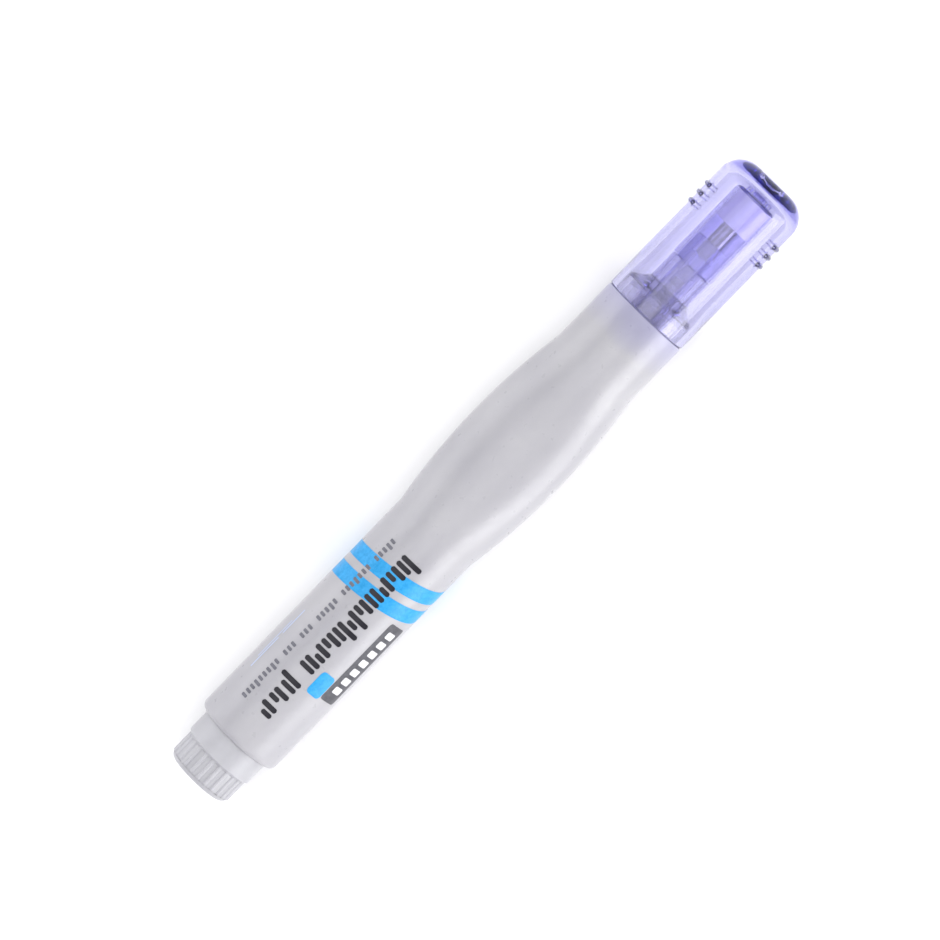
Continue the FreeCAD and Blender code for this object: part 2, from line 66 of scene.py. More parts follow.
# the bottle
BARREL_LENGTH = 46.8
BARREL_RADIUS = 7.8
GRIP_START = RIM + BARREL_LENGTH
GRIP_LENGTH = 37.1
GRIP_BULGE = 1.5
GRIP_PINCH = 1.4
SHOULDER = RIM + 95.7
SPIGOT_RADIUS = 6.65
SPIGOT_BORE = 5.55
CAVITY_RADIUS = 6.7
SEAT_RADIUS = 6.2
MOULD_LINE_HEIGHT = 0.04
MOULD_LINE_HALF_WIDTH = 0.3

# the end plug
KNOB_RADIUS = 6.45
FLUTED_RADIUS = 5.85
FLUTE_COUNT = 24
FLUTE_RADIUS = 0.42
FLUTE_HEIGHT = 0.24
FLUTES_FROM = REAR_END + 0.7
FLUTE_RUN = 0.35  # over which a flute rises to its full height
COLLAR_AT = REAR_END + 5.2

# the nozzle
NOZZLE_STEP = SPIGOT_END + 7.5
NOZZLE_BORE = 2.37
TIP_BASE = NOZZLE_STEP + 2.4
NEEDLE_BORE = 0.95

# the cap
CAP_RADIUS = 7.9
CEILING = CAP_END - 2.3
RIB_ARC = math.radians(56)
RIB_RADIUS = 0.45
RIB_HEIGHT = 0.35
RIB_END_ANGLE = 0.07  # over which a rib sinks at its ends
RIBS_AT = [CAP_END - 7.6 - 1.9 * number for number in range(3)]
BOSS_OUTER = 2.6
BOSS_INNER = 1.92
BOSS_HEIGHT = 1.3
SLOT_COUNT = 6
SLOT_HALF_ANGLE = math.radians(11.5)
SLOT_STEP = 0.05  # what is left of the boss in a slot

# the printing
BAND_MIDDLES = (46.75, 42.5)
BAND_HALF_WIDTH = 1.4
FRAME_MARKS = 7
FRAME_MARK_PITCH = 2.05
TITLE_STROKE = 0.9
TITLE_SECOND_STROKE = 0.85
SMALL_STROKE = 0.55
SMALL_PITCH = 0.95
SMALL_WORD_GAP = 1.05


# Meshes


def rounded(corners, steps=5):
    """The outline through corners of distance, radius and rounding, with the rounded ones as arcs."""
    points = []
    for i, (along, radius, size) in enumerate(corners):
        corner = Vector((along, radius))
        if not size:
            points.append(corner)
            continue
        before = (Vector(corners[i - 1][:2]) - corner).normalized()
        after = (Vector(corners[(i + 1) % len(corners)][:2]) - corner).normalized()
        half = before.angle(after) / 2
        middle = corner + (before + after).normalized() * (size / math.sin(half))
        first = corner + before * (size / math.tan(half)) - middle
        last = corner + after * (size / math.tan(half)) - middle
        sweep = math.pi - 2 * half
        for k in range(steps + 1):
            share = k / steps
            arm = first * math.sin((1 - share) * sweep) + last * math.sin(share * sweep)
            points.append(middle + arm / math.sin(sweep))
    return points


def evened(points, closed=True, step=0.6):
    """The outline with no stretch longer than the step."""
    ends = points[1:] + points[:1] if closed else points[1:]
    result = []
    for start, end in zip(points, ends):
        count = max(1, math.ceil((end - start).length / step))
        result += [start.lerp(end, k / count) for k in range(count)]
    return result if closed else result + [points[-1]]


def bead(along, radius, height, half_width):
    """Corners of a soft raised ring on a cylinder."""
    swell = [(k / 3, (1 + math.cos(math.pi * k / 3)) / 2) for k in range(-3, 4)]
    return [(along + share * half_width, radius + height * rise, 0) for share, rise in swell]


def spread(count, extra=()):
    """Angles spread evenly round the axis, with some more put among them."""
    angles = [TURN * k / count for k in range(count)] + [angle % TURN for angle in extra]
    return sorted(set(round(angle, 5) for angle in angles))


def round_section(along, radius, angle):
    """The point at an angle from +Y about the pen's axis."""
    across = radius * math.cos(angle)
    up = AXIS_HEIGHT + radius * math.sin(angle)
    return Vector((along, across, up)) * MM


def turned(name, outline, angles, closed=True, place=round_section):
    """A mesh turned about the pen's axis. An open outline starts and ends on the axis."""
    verts = []
    rings = []
    for along, radius in outline:
        if radius < NEAR_AXIS:
            rings.append([len(verts)] * len(angles))
            verts.append(place(along, 0, 0))
            continue
        rings.append([len(verts) + k for k in range(len(angles))])
        verts += [place(along, radius, angle) for angle in angles]
    following = rings[1:] + rings[:1] if closed else rings[1:]
    faces = []
    for ring, after in zip(rings, following):
        for k in range(len(angles)):
            corners = [ring[k - 1], ring[k], after[k], after[k - 1]]
            faces.append(list(dict.fromkeys(corners)))
    return meshed(name, verts, faces)


def meshed(name, verts, faces, sharp_over=40):
    """A smooth-shaded object with outward normals and crisp edges where it turns sharply."""
    mesh = bpy.data.meshes.new(name)
    mesh.from_pydata(verts, [], faces)
    work = bmesh.new()
    work.from_mesh(mesh)
    bmesh.ops.remove_doubles(work, verts=work.verts, dist=1e-8)
    bmesh.ops.recalc_face_normals(work, faces=work.faces)
    for face in work.faces:
        face.smooth = True
    work.to_mesh(mesh)
    work.free()
    mesh.set_sharp_from_angle(angle=math.radians(sharp_over))
    piece = bpy.data.objects.new(name, mesh)
    bpy.context.scene.collection.objects.link(piece)
    return piece


def fitted(piece, material, body, slot, *nodes):
    """Give a piece its material and body, and let it stand for CAD nodes. The slot is not used."""
    piece.data.materials.append(material)
    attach(piece, body)
    if nodes:
        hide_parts(*nodes)
    return piece


# Materials


def new_material(name):
    material = bpy.data.materials.new(name)
    material.use_nodes = True
    return material, material.node_tree


def shader_of(tree):
    return tree.nodes["Principled BSDF"]


def noise(tree, size, detail=3.0, stretch=(1, 1, 1), roughness=0.5):
    """Noise of about the given size in millimetres, in the object's own space."""
    where = tree.nodes.new("ShaderNodeTexCoord")
    scaled = tree.nodes.new("ShaderNodeMapping")
    scaled.inputs["Scale"].default_value = stretch
    grain = tree.nodes.new("ShaderNodeTexNoise")
    grain.inputs["Scale"].default_value = 1 / (size * MM)
    grain.inputs["Detail"].default_value = detail
    grain.inputs["Roughness"].default_value = roughness
    tree.links.new(where.outputs["Object"], scaled.inputs["Vector"])
    tree.links.new(scaled.outputs["Vector"], grain.inputs["Vector"])
    return grain.outputs["Fac"]


def ramp(tree, source, low, high, start=0.3, end=0.7):
    """A colour between low and high, as the source goes from start to end."""
    node = tree.nodes.new("ShaderNodeValToRGB")
    node.color_ramp.elements[0].position = start
    node.color_ramp.elements[0].color = (*low, 1)
    node.color_ramp.elements[1].position = end
    node.color_ramp.elements[1].color = (*high, 1)
    tree.links.new(source, node.inputs["Fac"])
    return node.outputs["Color"]


def ranged(tree, source, low, high, start=0.3, end=0.7):
    """A number between low and high, as the source goes from start to end."""
    node = tree.nodes.new("ShaderNodeMapRange")
    node.inputs["From Min"].default_value = start
    node.inputs["From Max"].default_value = end
    node.inputs["To Min"].default_value = low
    node.inputs["To Max"].default_value = high
    tree.links.new(source, node.inputs["Value"])
    return node.outputs["Result"]


def mixed(tree, share, colour, other):
    """A colour mixed with a plain one by the given share."""
    node = tree.nodes.new("ShaderNodeMix")
    node.data_type = "RGBA"
    node.inputs["B"].default_value = (*other, 1)
    tree.links.new(share, node.inputs["Factor"])
    tree.links.new(colour, node.inputs["A"])
    return node.outputs["Result"]


def bumped(tree, height, depth, strength=0.5):
    """Bump from a height pattern. The depth is in millimetres."""
    node = tree.nodes.new("ShaderNodeBump")
    node.inputs["Distance"].default_value = depth * MM
    node.inputs["Strength"].default_value = strength
    tree.links.new(height, node.inputs["Height"])
    tree.links.new(node.outputs["Normal"], shader_of(tree).inputs["Normal"])


def plastic(name, dark, light, rough, grain=0.35, clouds=4.0, subsurface=0.0, depth=0.02):
    """Moulded plastic: cloudy colour, uneven gloss and a fine moulded grain."""
    material, tree = new_material(name)
    shader = shader_of(tree)
    colour = ramp(tree, noise(tree, clouds, stretch=(0.5, 1, 1)), dark, light)
    tree.links.new(colour, shader.inputs["Base Color"])
    gloss = ranged(tree, noise(tree, 1.2), rough - 0.05, rough + 0.06)
    tree.links.new(gloss, shader.inputs["Roughness"])
    shader.inputs["IOR"].default_value = 1.5
    shader.inputs["Subsurface Weight"].default_value = subsurface
    shader.inputs["Subsurface Radius"].default_value = (1.0, 0.95, 1.1)
    shader.inputs["Subsurface Scale"].default_value = 2.2 * MM
    bumped(tree, noise(tree, grain), depth)
    return material


def clear_plastic(name, tint, absorbed, density, rough, weight):
    """Clear moulded plastic whose colour deepens with its thickness. A lower weight is cloudier."""
    material, tree = new_material(name)
    shader = shader_of(tree)
    low = tuple(0.97 * share for share in tint)
    tree.links.new(ramp(tree, noise(tree, 3.0), low, tint), shader.inputs["Base Color"])
    haze = ranged(tree, noise(tree, 0.8, stretch=(0.3, 1, 1)), rough * 0.6, rough * 1.4)
    tree.links.new(haze, shader.inputs["Roughness"])
    shader.inputs["Transmission Weight"].default_value = weight
    shader.inputs["IOR"].default_value = 1.4
    bumped(tree, noise(tree, 2.5, detail=1.0), 0.01, 0.3)
    inside = tree.nodes.new("ShaderNodeVolumeAbsorption")
    inside.inputs["Color"].default_value = (*absorbed, 1)
    inside.inputs["Density"].default_value = density
    tree.links.new(inside.outputs["Volume"], tree.nodes["Material Output"].inputs["Volume"])
    return material


def turned_steel(name, dark, light, rough, pitch=0.06):
    """Steel with fine turning lines round the pen's axis."""
    material, tree = new_material(name)
    shader = shader_of(tree)
    shader.inputs["Metallic"].default_value = 1.0
    lines = noise(tree, pitch, detail=2.0, stretch=(1, 0.03, 0.03))
    tree.links.new(ramp(tree, noise(tree, 0.9), dark, light), shader.inputs["Base Color"])
    tree.links.new(ranged(tree, lines, rough - 0.06, rough + 0.08), shader.inputs["Roughness"])
    bumped(tree, lines, 0.004)
    return material


def ink(name, dark, light, rough=0.34):
    """Screen-printed ink: a little uneven in cover, with the edge of its film showing."""
    material, tree = new_material(name)
    shader = shader_of(tree)
    colour = ramp(tree, noise(tree, 0.7, detail=5.0, roughness=0.7), dark, light)
    tree.links.new(colour, shader.inputs["Base Color"])
    tree.links.new(ranged(tree, noise(tree, 0.3), rough - 0.06, rough + 0.08), shader.inputs["Roughness"])
    shader.inputs["Specular IOR Level"].default_value = 0.25
    bumped(tree, noise(tree, 0.18), 0.006)
    return material


def bottle_material():
    """Cloudy polyethylene. Next to the cap it has a painted violet tint and a painted shade, standing in
    for the nozzle and its tail seen through the wall.
    """
    dark = (0.367, 0.361, 0.389)
    light = (0.412, 0.406, 0.427)
    material = plastic("bottle_polyethylene", dark, light, 0.32, clouds=7.0, subsurface=0.3)
    tree = material.node_tree
    shader = shader_of(tree)
    wall = shader.inputs["Base Color"].links[0].from_socket
    where = tree.nodes.new("ShaderNodeTexCoord")
    split = tree.nodes.new("ShaderNodeSeparateXYZ")
    tree.links.new(where.outputs["Object"], split.inputs["Vector"])
    # Painted see-through colour: a violet tint growing towards the shoulder, standing in for the violet
    # nozzle seen through the opaque wall.
    painted_violet_from = SHOULDER - 6.5
    painted_see_through_violet = (0.33, 0.32, 0.52)
    painted_violet_share = ranged(tree, split.outputs["X"], 0.0, 0.6, painted_violet_from * MM, SHOULDER * MM)
    wall = mixed(tree, painted_violet_share, wall, painted_see_through_violet)
    # Painted shade: a soft dark patch round the nozzle's tail, standing in for the tail seen through the
    # opaque wall.
    tail_middle = Vector((SHOULDER - 2.2, 0, AXIS_HEIGHT))
    tail_reach = Vector((5.2, 4.2, 40.0))
    painted_tail_shade = (0.22, 0.215, 0.33)
    tail = tree.nodes.new("ShaderNodeMapping")
    tail.vector_type = "TEXTURE"
    tail.inputs["Location"].default_value = tail_middle * MM
    tail.inputs["Scale"].default_value = tail_reach * MM
    tree.links.new(where.outputs["Object"], tail.inputs["Vector"])
    distance = tree.nodes.new("ShaderNodeVectorMath")
    distance.operation = "LENGTH"
    tree.links.new(tail.outputs["Vector"], distance.inputs[0])
    painted_shade_share = ranged(tree, distance.outputs["Value"], 0.5, 0.0, 0.25, 1.0)
    wall = mixed(tree, painted_shade_share, wall, painted_tail_shade)
    tree.links.new(wall, shader.inputs["Base Color"])
    return material


# The bottle


def grip_section(along, radius, angle):
    """A point of the bottle: the grip widens sideways and flattens up and down, with a fine mould line."""
    share = min(1.0, max(0.0, (along - GRIP_START) / GRIP_LENGTH))
    wide = radius + GRIP_BULGE * 4 * share * (1 - share)
    thick = radius - GRIP_PINCH * math.sin(math.pi * share) ** 2
    off_line = abs(math.sin(angle)) * radius / MOULD_LINE_HALF_WIDTH
    if off_line < 1 and radius > CAVITY_RADIUS + 0.5 and along < SHOULDER - 0.3:
        wide += MOULD_LINE_HEIGHT * (1 + math.cos(math.pi * off_line)) / 2
    across = wide * math.cos(angle)
    up = AXIS_HEIGHT + thick * math.sin(angle)
    return Vector((along, across, up)) * MM


def make_bottle(material, neck_material):
    """One hollow mesh. The neck under the cap is clearer than the rest."""
    seat_end = RIM + 7.6
    neck = SHOULDER - 1.4
    corners = [
        (RIM, SEAT_RADIUS, 0.15),
        (RIM, BARREL_RADIUS, 0.9),
        (SHOULDER, BARREL_RADIUS, 0.25),
        (SHOULDER, SPIGOT_RADIUS, 0.08),
        *bead(SHOULDER + 1.6, SPIGOT_RADIUS, 0.08, 0.5),
        (SPIGOT_END, SPIGOT_RADIUS, 0.15),
        (SPIGOT_END, SPIGOT_BORE, 0.1),
        (neck, SPIGOT_BORE, 0),
        (neck - 1.2, CAVITY_RADIUS, 0),
        (seat_end + 1.2, CAVITY_RADIUS, 0),
        (seat_end, SEAT_RADIUS, 0),
    ]
    edge = [k * MOULD_LINE_HALF_WIDTH / 3 / BARREL_RADIUS for k in range(-3, 4)]
    angles = spread(144, edge + [math.pi + angle for angle in edge])
    outline = evened(rounded(corners), step=0.7)
    bottle = turned("squeeze_bottle", outline, angles, place=grip_section)
    fitted(bottle, material, "bottle", "bottle_plastic", "bottle")
    bottle.data.materials.append(neck_material)
    for face in bottle.data.polygons:
        if face.center.x > (SHOULDER + 0.05) * MM:
            face.material_index = 1


# The end plug


def fluted_section(along, radius, angle):
    """A point of the knob, with its rounded ribs."""
    if FLUTES_FROM < along < COLLAR_AT and radius > FLUTED_RADIUS - 0.3:
        pitch = TURN / FLUTE_COUNT
        off = (angle + pitch / 2) % pitch - pitch / 2
        across = FLUTED_RADIUS * math.sin(off)
        if abs(across) < FLUTE_RADIUS:
            ease = min(1.0, (along - FLUTES_FROM) / FLUTE_RUN)
            crest = FLUTE_HEIGHT * math.sqrt(ease * (2 - ease)) - FLUTE_RADIUS
            rib = FLUTED_RADIUS + crest + math.sqrt(FLUTE_RADIUS ** 2 - across ** 2)
            radius = max(radius, rib)
    return round_section(along, radius, angle)


def make_end_plug(material):
    """The fluted knob and its collar, with the hollow skirt that plugs the bottle."""
    skirt_end = REAR_END + 16.2
    skirt = 6.12
    hollow = 5.17
    corners = [
        (REAR_END + 0.3, 0, 0),
        (REAR_END + 0.3, 1.3, 0.08),
        (REAR_END, 1.5, 0.08),
        (REAR_END, FLUTED_RADIUS, 0.9),
        (FLUTES_FROM + 0.1, FLUTED_RADIUS, 0),
        (FLUTES_FROM + 0.2, FLUTED_RADIUS, 0),
        (FLUTES_FROM + FLUTE_RUN, FLUTED_RADIUS, 0),
        (COLLAR_AT - 0.5, FLUTED_RADIUS, 0),
        (COLLAR_AT - 0.3, FLUTED_RADIUS + 0.24, 0),
        (COLLAR_AT, KNOB_RADIUS, 0.1),
        (RIM, KNOB_RADIUS, 0.12),
        (RIM, skirt, 0),
        *bead(skirt_end - 4.6, skirt, 0.04, 0.4),
        *bead(skirt_end - 1.6, skirt, 0.04, 0.4),
        (skirt_end, skirt, 0.2),
        (skirt_end, hollow, 0.1),
        (REAR_END + 1.4, hollow, 0.4),
        (REAR_END + 1.4, 0, 0),
    ]
    outline = evened(rounded(corners), closed=False, step=0.5)
    plug = turned("fluted_end_plug", outline, spread(FLUTE_COUNT * 12), closed=False, place=fluted_section)
    return fitted(plug, material, "end_plug", "plug_plastic", "end_plug")


# The nozzle


def make_nozzle_base(material):
    """The push-in base, with its double wall inside the spigot, its flange and its cone."""
    plug_end = SPIGOT_END - 4.0
    web = SPIGOT_END - 1.0
    skirt = 5.53
    skirt_bore = 4.63
    sleeve = 3.17
    flange = 6.55
    hub = 3.97
    corners = [
        (plug_end, NOZZLE_BORE, 0.1),
        (plug_end, sleeve, 0.1),
        (web, sleeve, 0.15),
        (web, skirt_bore, 0.15),
        (plug_end, skirt_bore, 0.1),
        (plug_end, skirt, 0.2),
        (SPIGOT_END, skirt, 0),
        (SPIGOT_END, flange, 0.12),
        (SPIGOT_END + 0.4, flange, 0.12),
        (SPIGOT_END + 2.4, hub, 0.4),
        (NOZZLE_STEP, hub, 0.2),
        (NOZZLE_STEP, NOZZLE_BORE, 0.05),
    ]
    base = turned("nozzle_base", evened(rounded(corners), step=0.4), spread(96))
    fitted(base, material, "bottle", "nozzle_plastic", "nozzle_body")


def make_nozzle_head(material):
    """The head that holds the steel tip, with the long tail that holds the valve."""
    tail = NOZZLE_STEP - 15.4
    chamber = 1.77
    stem = 2.35
    head = 3.2
    tip_seat = 1.52
    spring_bore = 1.35
    corners = [
        (tail, chamber, 0.05),
        (tail, stem, 0.15),
        (NOZZLE_STEP, stem, 0),
        (NOZZLE_STEP, head, 0.12),
        (NOZZLE_STEP + 5.2, head, 0.35),
        (NOZZLE_STEP + 5.2, tip_seat, 0.05),
        (TIP_BASE, tip_seat, 0),
        (TIP_BASE, NEEDLE_BORE, 0),
        (NOZZLE_STEP - 1.5, NEEDLE_BORE, 0),
        (NOZZLE_STEP - 1.5, spring_bore, 0),
        (tail + 2.5, spring_bore, 0),
        (tail + 2.5, chamber, 0),
    ]
    carrier = turned("nozzle_head", evened(rounded(corners), step=0.4), spread(80))
    fitted(carrier, material, "bottle", "carrier_plastic", "tip_carrier")


def make_steel_tip(material):
    """The steel tip: a straight shank, a taper and a thin snout."""
    taper = TIP_BASE + 6.7
    snout = taper + 1.1
    tip_end = snout + 1.2
    shank = 1.5
    thin = 0.75
    outlet = 0.34
    corners = [
        (TIP_BASE, NEEDLE_BORE, 0),
        (TIP_BASE, shank, 0.1),
        (taper, shank, 0.12),
        (snout, thin, 0.1),
        (tip_end, thin, 0.15),
        (tip_end, outlet, 0.03),
        (snout - 0.6, outlet, 0),
        (snout - 1.8, NEEDLE_BORE, 0),
    ]
    tip = turned("steel_tip", evened(rounded(corners), step=0.25), spread(72))
    fitted(tip, material, "bottle", "tip_steel", "metal_tip")


# The spring


def make_spring(steel):
    """A closed-end coil, at its rest length; in the pen it shortens as the needle is pressed in."""
    wire = 0.11
    coil = 0.8
    turns = 9
    closing = 0.055  # how far the end coils close up
    around = 10
    steps = turns * 28
    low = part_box("valve_spring")[0].x / MM + wire
    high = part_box("valve_spring")[1].x / MM - wire
    verts = []
    for i in range(steps + 1):
        share = i / steps
        angle = TURN * turns * share
        eased = share - closing * math.sin(TURN * share)
        out = Vector((0, math.cos(angle), math.sin(angle)))
        centre = Vector((low + (high - low) * eased, 0, AXIS_HEIGHT)) + out * coil
        for k in range(around):
            lean = TURN * k / around
            verts.append((centre + (out * math.cos(lean) + Vector((1, 0, 0)) * math.sin(lean)) * wire) * MM)
    faces = [list(range(around)), [steps * around + k for k in range(around)]]
    for i in range(steps):
        for k in range(around):
            after = (k + 1) % around
            first = i * around
            second = first + around
            faces.append([first + k, first + after, second + after, second + k])
    spring = meshed("coil_spring", verts, faces, sharp_over=60)
    fitted(spring, steel, "bottle", "spring_steel", "valve_spring")
    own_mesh(spring)


# The cap


def cap_section(along, radius, angle):
    """A point of the cap, with its grip ribs outside and its slotted boss inside."""
    side = min(angle % math.pi, math.pi - angle % math.pi)
    if radius > CAP_RADIUS - 0.01 and side < RIB_ARC / 2:
        for rib_at in RIBS_AT:
            off = abs(along - rib_at)
            if off < RIB_RADIUS:
                ease = min(1.0, (RIB_ARC / 2 - side) / RIB_END_ANGLE)
                crest = RIB_HEIGHT * math.sqrt(ease * (2 - ease)) - RIB_RADIUS
                radius = max(radius, CAP_RADIUS + crest + math.sqrt(RIB_RADIUS ** 2 - off ** 2))
    if along < CEILING - NEAR_AXIS and radius < BOSS_OUTER + 0.01:
        pitch = TURN / SLOT_COUNT
        off_slot = abs((angle + pitch / 2) % pitch - pitch / 2)
        if off_slot < SLOT_HALF_ANGLE:
            along = CEILING - SLOT_STEP
    return round_section(along, radius, angle)


def make_cap(material):
    """The clear cap. Lamps pass it unshaded, so that what is inside stays lit."""
    bore = 6.5
    mouth_bore = 6.8
    ribs = []
    for rib_at in reversed(RIBS_AT):
        ribs += [(rib_at + k * 0.11, CAP_RADIUS, 0) for k in range(-4, 5)]
    corners = [
        (CEILING, 0, 0),
        (CEILING, BOSS_INNER, 0),
        (CEILING - BOSS_HEIGHT, BOSS_INNER, 0),
        (CEILING - BOSS_HEIGHT, BOSS_OUTER, 0),
        (CEILING, BOSS_OUTER, 0),
        (CEILING, bore, 2.2),
        (CAP_MOUTH + 7.5, bore, 0.3),
        (CAP_MOUTH + 4.0, mouth_bore, 0.3),
        (CAP_MOUTH, mouth_bore, 0.1),
        (CAP_MOUTH, CAP_RADIUS, 0.22),
        *ribs,
        (CAP_END, CAP_RADIUS, 4.2),
        (CAP_END, 0, 0),
    ]
    slots = []
    for number in range(SLOT_COUNT):
        middle = TURN * number / SLOT_COUNT
        for side in (-1, 1):
            slots += [middle + side * (SLOT_HALF_ANGLE + gap) for gap in (-0.004, 0.004)]
    outline = evened(rounded(corners, steps=9), closed=False, step=0.5)
    cap = turned("clear_cap", outline, spread(160, slots), closed=False, place=cap_section)
    cap.visible_shadow = False
    return fitted(cap, material, "cap", "cap_plastic", "cap_shell")


def make_inner_cap(material):
    """The cup over the nozzle, on a peg in the cap's boss."""
    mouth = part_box("inner_cap")[0].x / MM
    peg_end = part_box("inner_cap")[1].x / MM
    cup_end = mouth + 15.4
    floor = mouth + 14.4
    bore = 3.35
    outer = 4.1
    peg = 1.9
    corners = [
        (floor, 0, 0),
        (floor, bore, 0.2),
        (mouth, bore, 0.1),
        (mouth, outer, 0.1),
        (cup_end, outer, 1.2),
        (cup_end, peg, 0.1),
        (peg_end, peg, 0.2),
        (peg_end, 0, 0),
    ]
    outline = evened(rounded(corners), closed=False, step=0.4)
    cup = turned("inner_cap_cup", outline, spread(96), closed=False)
    cup.visible_shadow = False
    return fitted(cup, material, "cap", "inner_cap_plastic", "inner_cap")


# The printing: plain marks that can't be read. A height on the barrel is an angle in degrees from
# its top, growing towards -Y, and a distance is in millimetres from the pen's rear end.


def print_rows(start, end, low, high, round_by=0.0, lean=lambda angle: 0.0):
    """Rows of a printed bar, each an angle and its two ends."""
    tall = math.radians(high - low) * BARREL_RADIUS
    count = max(3, math.ceil(tall / (0.15 if round_by else 0.3)))
    rows = []
    for k in range(count + 1):
        share = k / count
        angle = low + (high - low) * share
        edge = min(share, 1 - share) * tall
        inset = 0.0
        if edge < round_by:
            inset = round_by - math.sqrt(round_by ** 2 - (round_by - edge) ** 2)
        rows.append((angle, start + inset + lean(angle), end - inset + lean(angle)))
    return rows


def printed(name, shapes, material, lift):
    """Thin films of ink on the barrel, one closed shell to a shape."""
    verts = []
    faces = []
    for rows in shapes:
        across = max(1, math.ceil(abs(rows[0][2] - rows[0][1]) / 0.8))
        first = len(verts)
        for radius in (BARREL_RADIUS - 0.02, BARREL_RADIUS + lift):
            for angle, start, end in rows:
                turn = math.radians(90 + angle)
                for k in range(across + 1):
                    along = REAR_END + start + (end - start) * k / across
                    verts.append(round_section(along, radius, turn))
        wide = across + 1
        layer = len(rows) * wide
        for row in range(len(rows) - 1):
            for k in range(across):
                corner = first + row * wide + k
                quad = [corner, corner + 1, corner + wide + 1, corner + wide]
                faces.append(quad)
                faces.append([v + layer for v in quad])
        rim = [first + k for k in range(wide)]
        rim += [first + row * wide + across for row in range(1, len(rows))]
        rim += [first + (len(rows) - 1) * wide + k for k in range(across - 1, -1, -1)]
        rim += [first + row * wide for row in range(len(rows) - 2, 0, -1)]
        for a, b in zip(rim, rim[1:] + rim[:1]):
            faces.append([a, b, b + layer, a + layer])
    film = meshed(name, verts, faces)
    return fitted(film, material, "bottle", "bottle_plastic")


def make_printing():
    """Bands, a patch, a framed row of marks, two lines of strokes and three fine lines."""
    blue = ink("ink_blue", (0.010, 0.25, 0.56), (0.04, 0.36, 0.72))
    black = ink("ink_black", (0.008, 0.007, 0.012), (0.016, 0.015, 0.022))
    grey = ink("ink_grey", (0.10, 0.10, 0.12), (0.17, 0.17, 0.20))
    slate = ink("ink_slate", (0.055, 0.055, 0.065), (0.10, 0.10, 0.115))
    white = ink("ink_white", (0.62, 0.62, 0.64), (0.74, 0.74, 0.76))
    pale = ink("ink_pale_blue", (0.42, 0.50, 0.72), (0.50, 0.57, 0.76))

    stripes = [
        print_rows(middle - BAND_HALF_WIDTH, middle + BAND_HALF_WIDTH, -140, 140, 0.4, band_lean)
        for middle in BAND_MIDDLES
    ]
    printed("label_stripes", stripes, blue, 0.02)
    patch = [print_rows(23.7, 28.2, 20, 41, 0.7)]
    printed("label_patch", patch, blue, 0.02)
    box = [print_rows(24.3, 41.2, 42, 72, 0.5)]
    printed("label_box", box, slate, 0.03)
    starts = [26.2 + FRAME_MARK_PITCH * k for k in range(FRAME_MARKS)]
    marks = [print_rows(start, start + 1.3, 49, 64, 0.2) for start in starts]
    printed("label_box_marks", marks, white, 0.04)
    printed("label_title", title_marks(), black, 0.035)
    printed("label_small_line", small_marks(), grey, 0.03)
    fine = [
        print_rows(20.0, 26.5, -56, -54.5),
        print_rows(27.5, 32.7, -56, -54.5),
        print_rows(22.0, 30.0, -60, -58.8),
    ]
    printed("label_fine_lines", fine, pale, 0.02)


def band_lean(angle):
    """How far a band has moved along the barrel at an angle from the top."""
    share = angle / 90
    return 1.7 * share + 0.6 * share * share


def title_marks():
    """Two runs of heavy uneven strokes: start, end, count of pairs, and which stand tall or deep."""
    baseline, lower, middle, upper = -8.8, -16.8, 13.3, 21.8
    shapes = []
    words = (
        (51.0, 26.0, 10, (0, 5, 6), ()),
        (24.1, 15.6, 3, (), (0,)),
    )
    for start, end, count, tall, deep in words:
        pitch = (start - end) / count
        for k in range(count):
            left = start - pitch * k - 0.15
            top = upper if k in tall else middle
            bottom = lower if k in deep else baseline
            shapes.append(print_rows(left - TITLE_STROKE, left, bottom, top, 0.4))
            short_top = middle - 7 if k % 3 == 1 else middle
            short_bottom = baseline + 7 if k % 3 == 2 else baseline
            second = left - 1.25
            shapes.append(print_rows(second - TITLE_SECOND_STROKE, second, short_bottom, short_top, 0.4))
    return shapes


def small_marks():
    """A line of small strokes, grouped as words."""
    shapes = []
    at = 51.2
    for word in (5, 7, 5, 3, 3, 9):
        for k in range(word):
            tall = -23.5 if (k * 3 + word) % 4 == 0 else -26
            shapes.append(print_rows(at - SMALL_STROKE, at, -34, tall, 0.1))
            at -= SMALL_PITCH
        at -= SMALL_WORD_GAP
    return shapes


# The set


def make_floor():
    material, tree = new_material("studio_floor")
    shader = shader_of(tree)
    colour = ramp(tree, noise(tree, 30.0), (0.93, 0.93, 0.93), (0.95, 0.95, 0.95))
    tree.links.new(colour, shader.inputs["Base Color"])
    shader.inputs["Roughness"].default_value = 0.8
    shader.inputs["Specular IOR Level"].default_value = 0.1
    half = 1.2
    corners = [(-half, -half, 0), (half, -half, 0), (half, half, 0), (-half, half, 0)]
    floor = meshed("floor", corners, [[0, 1, 2, 3]])
    floor.data.materials.append(material)


def softbox(name, direction, distance, size, level):
    """An area light that adds the given level to a white surface facing it."""
    data = bpy.data.lights.new(name, "AREA")
    data.shape = "SQUARE"
    data.size = size
    data.energy = level * math.pi ** 2 * distance ** 2
    lamp = bpy.data.objects.new(name, data)
    lamp.location = Vector(direction).normalized() * distance
    lamp.rotation_mode = "QUATERNION"
    lamp.rotation_quaternion = Vector(direction).to_track_quat("Z", "Y")
    bpy.context.scene.collection.objects.link(lamp)


def make_lights():
    world = bpy.data.worlds.new("studio")
    world.use_nodes = True
    world.node_tree.nodes["Background"].inputs["Color"].default_value = (0.97, 0.97, 1.0, 1)
    world.node_tree.nodes["Background"].inputs["Strength"].default_value = 0.84
    bpy.context.scene.world = world
    softbox("overhead", (0, 0.1, 1), 0.9, 0.7, 0.36)
    softbox("key", (0.1, -1, 0.32), 0.7, 0.45, 0.82)
    softbox("fill", (-0.1, 1, 0.3), 0.9, 0.7, 0.38)


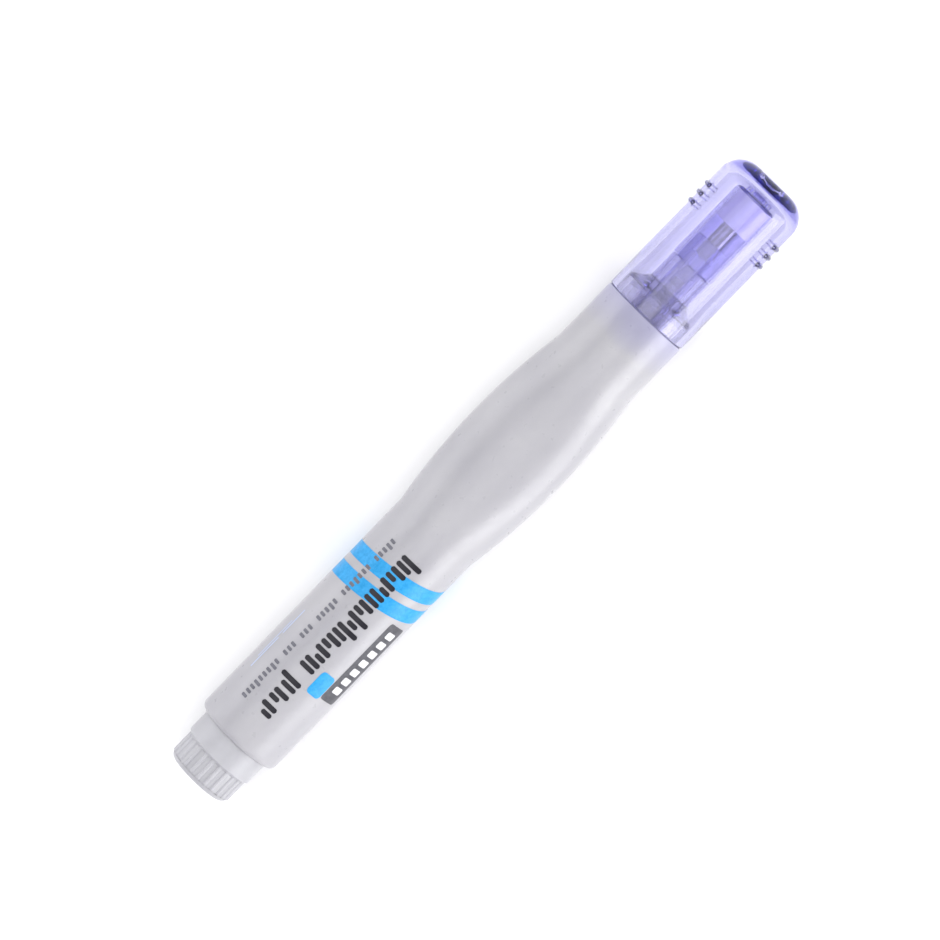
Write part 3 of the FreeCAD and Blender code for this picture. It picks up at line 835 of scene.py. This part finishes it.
def make_camera():
    """Above the cap's end, looking back at the pen's middle, with the cap at the frame's upper right."""
    frame_width = 152.4
    off_middle = (-2.28, 1.95)
    lean = Matrix.Rotation(math.radians(4.9), 3, "Y")
    turn = Matrix.Rotation(math.radians(-45.9), 3, "Z")
    right, up, back = (lean @ turn).transposed()
    data = bpy.data.cameras.new("camera")
    data.lens = 200
    data.sensor_width = 36
    camera = bpy.data.objects.new("camera", data)
    distance = frame_width * data.lens / data.sensor_width
    looked_at = Vector((0, 0, AXIS_HEIGHT)) + right * off_middle[0] + up * off_middle[1]
    camera.location = (looked_at + back * distance) * MM
    camera.rotation_euler = (lean @ turn).to_euler()
    bpy.context.scene.collection.objects.link(camera)
    bpy.context.scene.camera = camera


def dress_cad_nodes():
    """Materials for the CAD nodes that stay."""
    steel = turned_steel("needle_drawn_steel", (0.50, 0.50, 0.50), (0.62, 0.62, 0.62), 0.22)
    acetal = plastic("collar_acetal", (0.70, 0.70, 0.68), (0.78, 0.78, 0.76), 0.35, clouds=1.5)
    ball = turned_steel("ball_ground_steel", (0.62, 0.62, 0.63), (0.74, 0.74, 0.75), 0.14, pitch=0.5)
    rubber = plastic("seal_elastomer", (0.56, 0.54, 0.66), (0.64, 0.62, 0.72), 0.6, clouds=2.0)
    finishes = {
        "valve_needle": steel,
        "needle_collar": acetal,
        "spring_retainer": acetal,
        "agitator_ball": ball,
        "tip_seal": rubber,
    }
    for node, material in finishes.items():
        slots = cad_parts[node].data.materials
        slots.clear()
        slots.append(material)


def make_object():
    """Every piece, with its material."""
    tip_steel = turned_steel("tip_turned_steel", (0.24, 0.235, 0.24), (0.36, 0.35, 0.35), 0.2)
    neck = clear_plastic("neck_polyethylene", (0.97, 0.965, 0.98), (0.55, 0.53, 0.88), 30, 0.05, 0.97)
    base = clear_plastic("nozzle_polypropylene", (0.90, 0.89, 0.98), (0.42, 0.38, 0.90), 80, 0.05, 0.9)
    head = clear_plastic("carrier_polypropylene", (0.84, 0.83, 0.97), (0.40, 0.36, 0.88), 90, 0.05, 0.85)
    plug_dark = (0.383, 0.381, 0.405)
    plug_light = (0.435, 0.433, 0.46)
    plug = plastic("plug_polyethylene", plug_dark, plug_light, 0.36, clouds=5.0, subsurface=0.3)
    cap = clear_plastic("cap_polystyrene", (0.79, 0.785, 0.88), (0.42, 0.39, 0.87), 130, 0.02, 1.0)
    cup = clear_plastic("inner_cap_polypropylene", (0.80, 0.785, 0.95), (0.45, 0.41, 0.90), 200, 0.03, 0.94)
    make_bottle(bottle_material(), neck)
    make_end_plug(plug)
    make_nozzle_base(base)
    make_nozzle_head(head)
    make_steel_tip(tip_steel)
    make_spring(turned_steel("spring_wire_steel", (0.46, 0.46, 0.46), (0.58, 0.58, 0.58), 0.28))
    make_cap(cap)
    make_inner_cap(cup)
    make_printing()
    dress_cad_nodes()


def set_rendering():
    """A plain colour transform, and enough bounces for light to cross the clear cap and what is in it."""
    scene = bpy.context.scene
    scene.view_settings.view_transform = "Standard"
    scene.cycles.use_denoising = True
    scene.cycles.max_bounces = LIGHT_BOUNCES
    scene.cycles.transmission_bounces = LIGHT_BOUNCES
    scene.cycles.glossy_bounces = LIGHT_BOUNCES


make_object()
make_floor()
make_lights()
make_camera()
set_rendering()
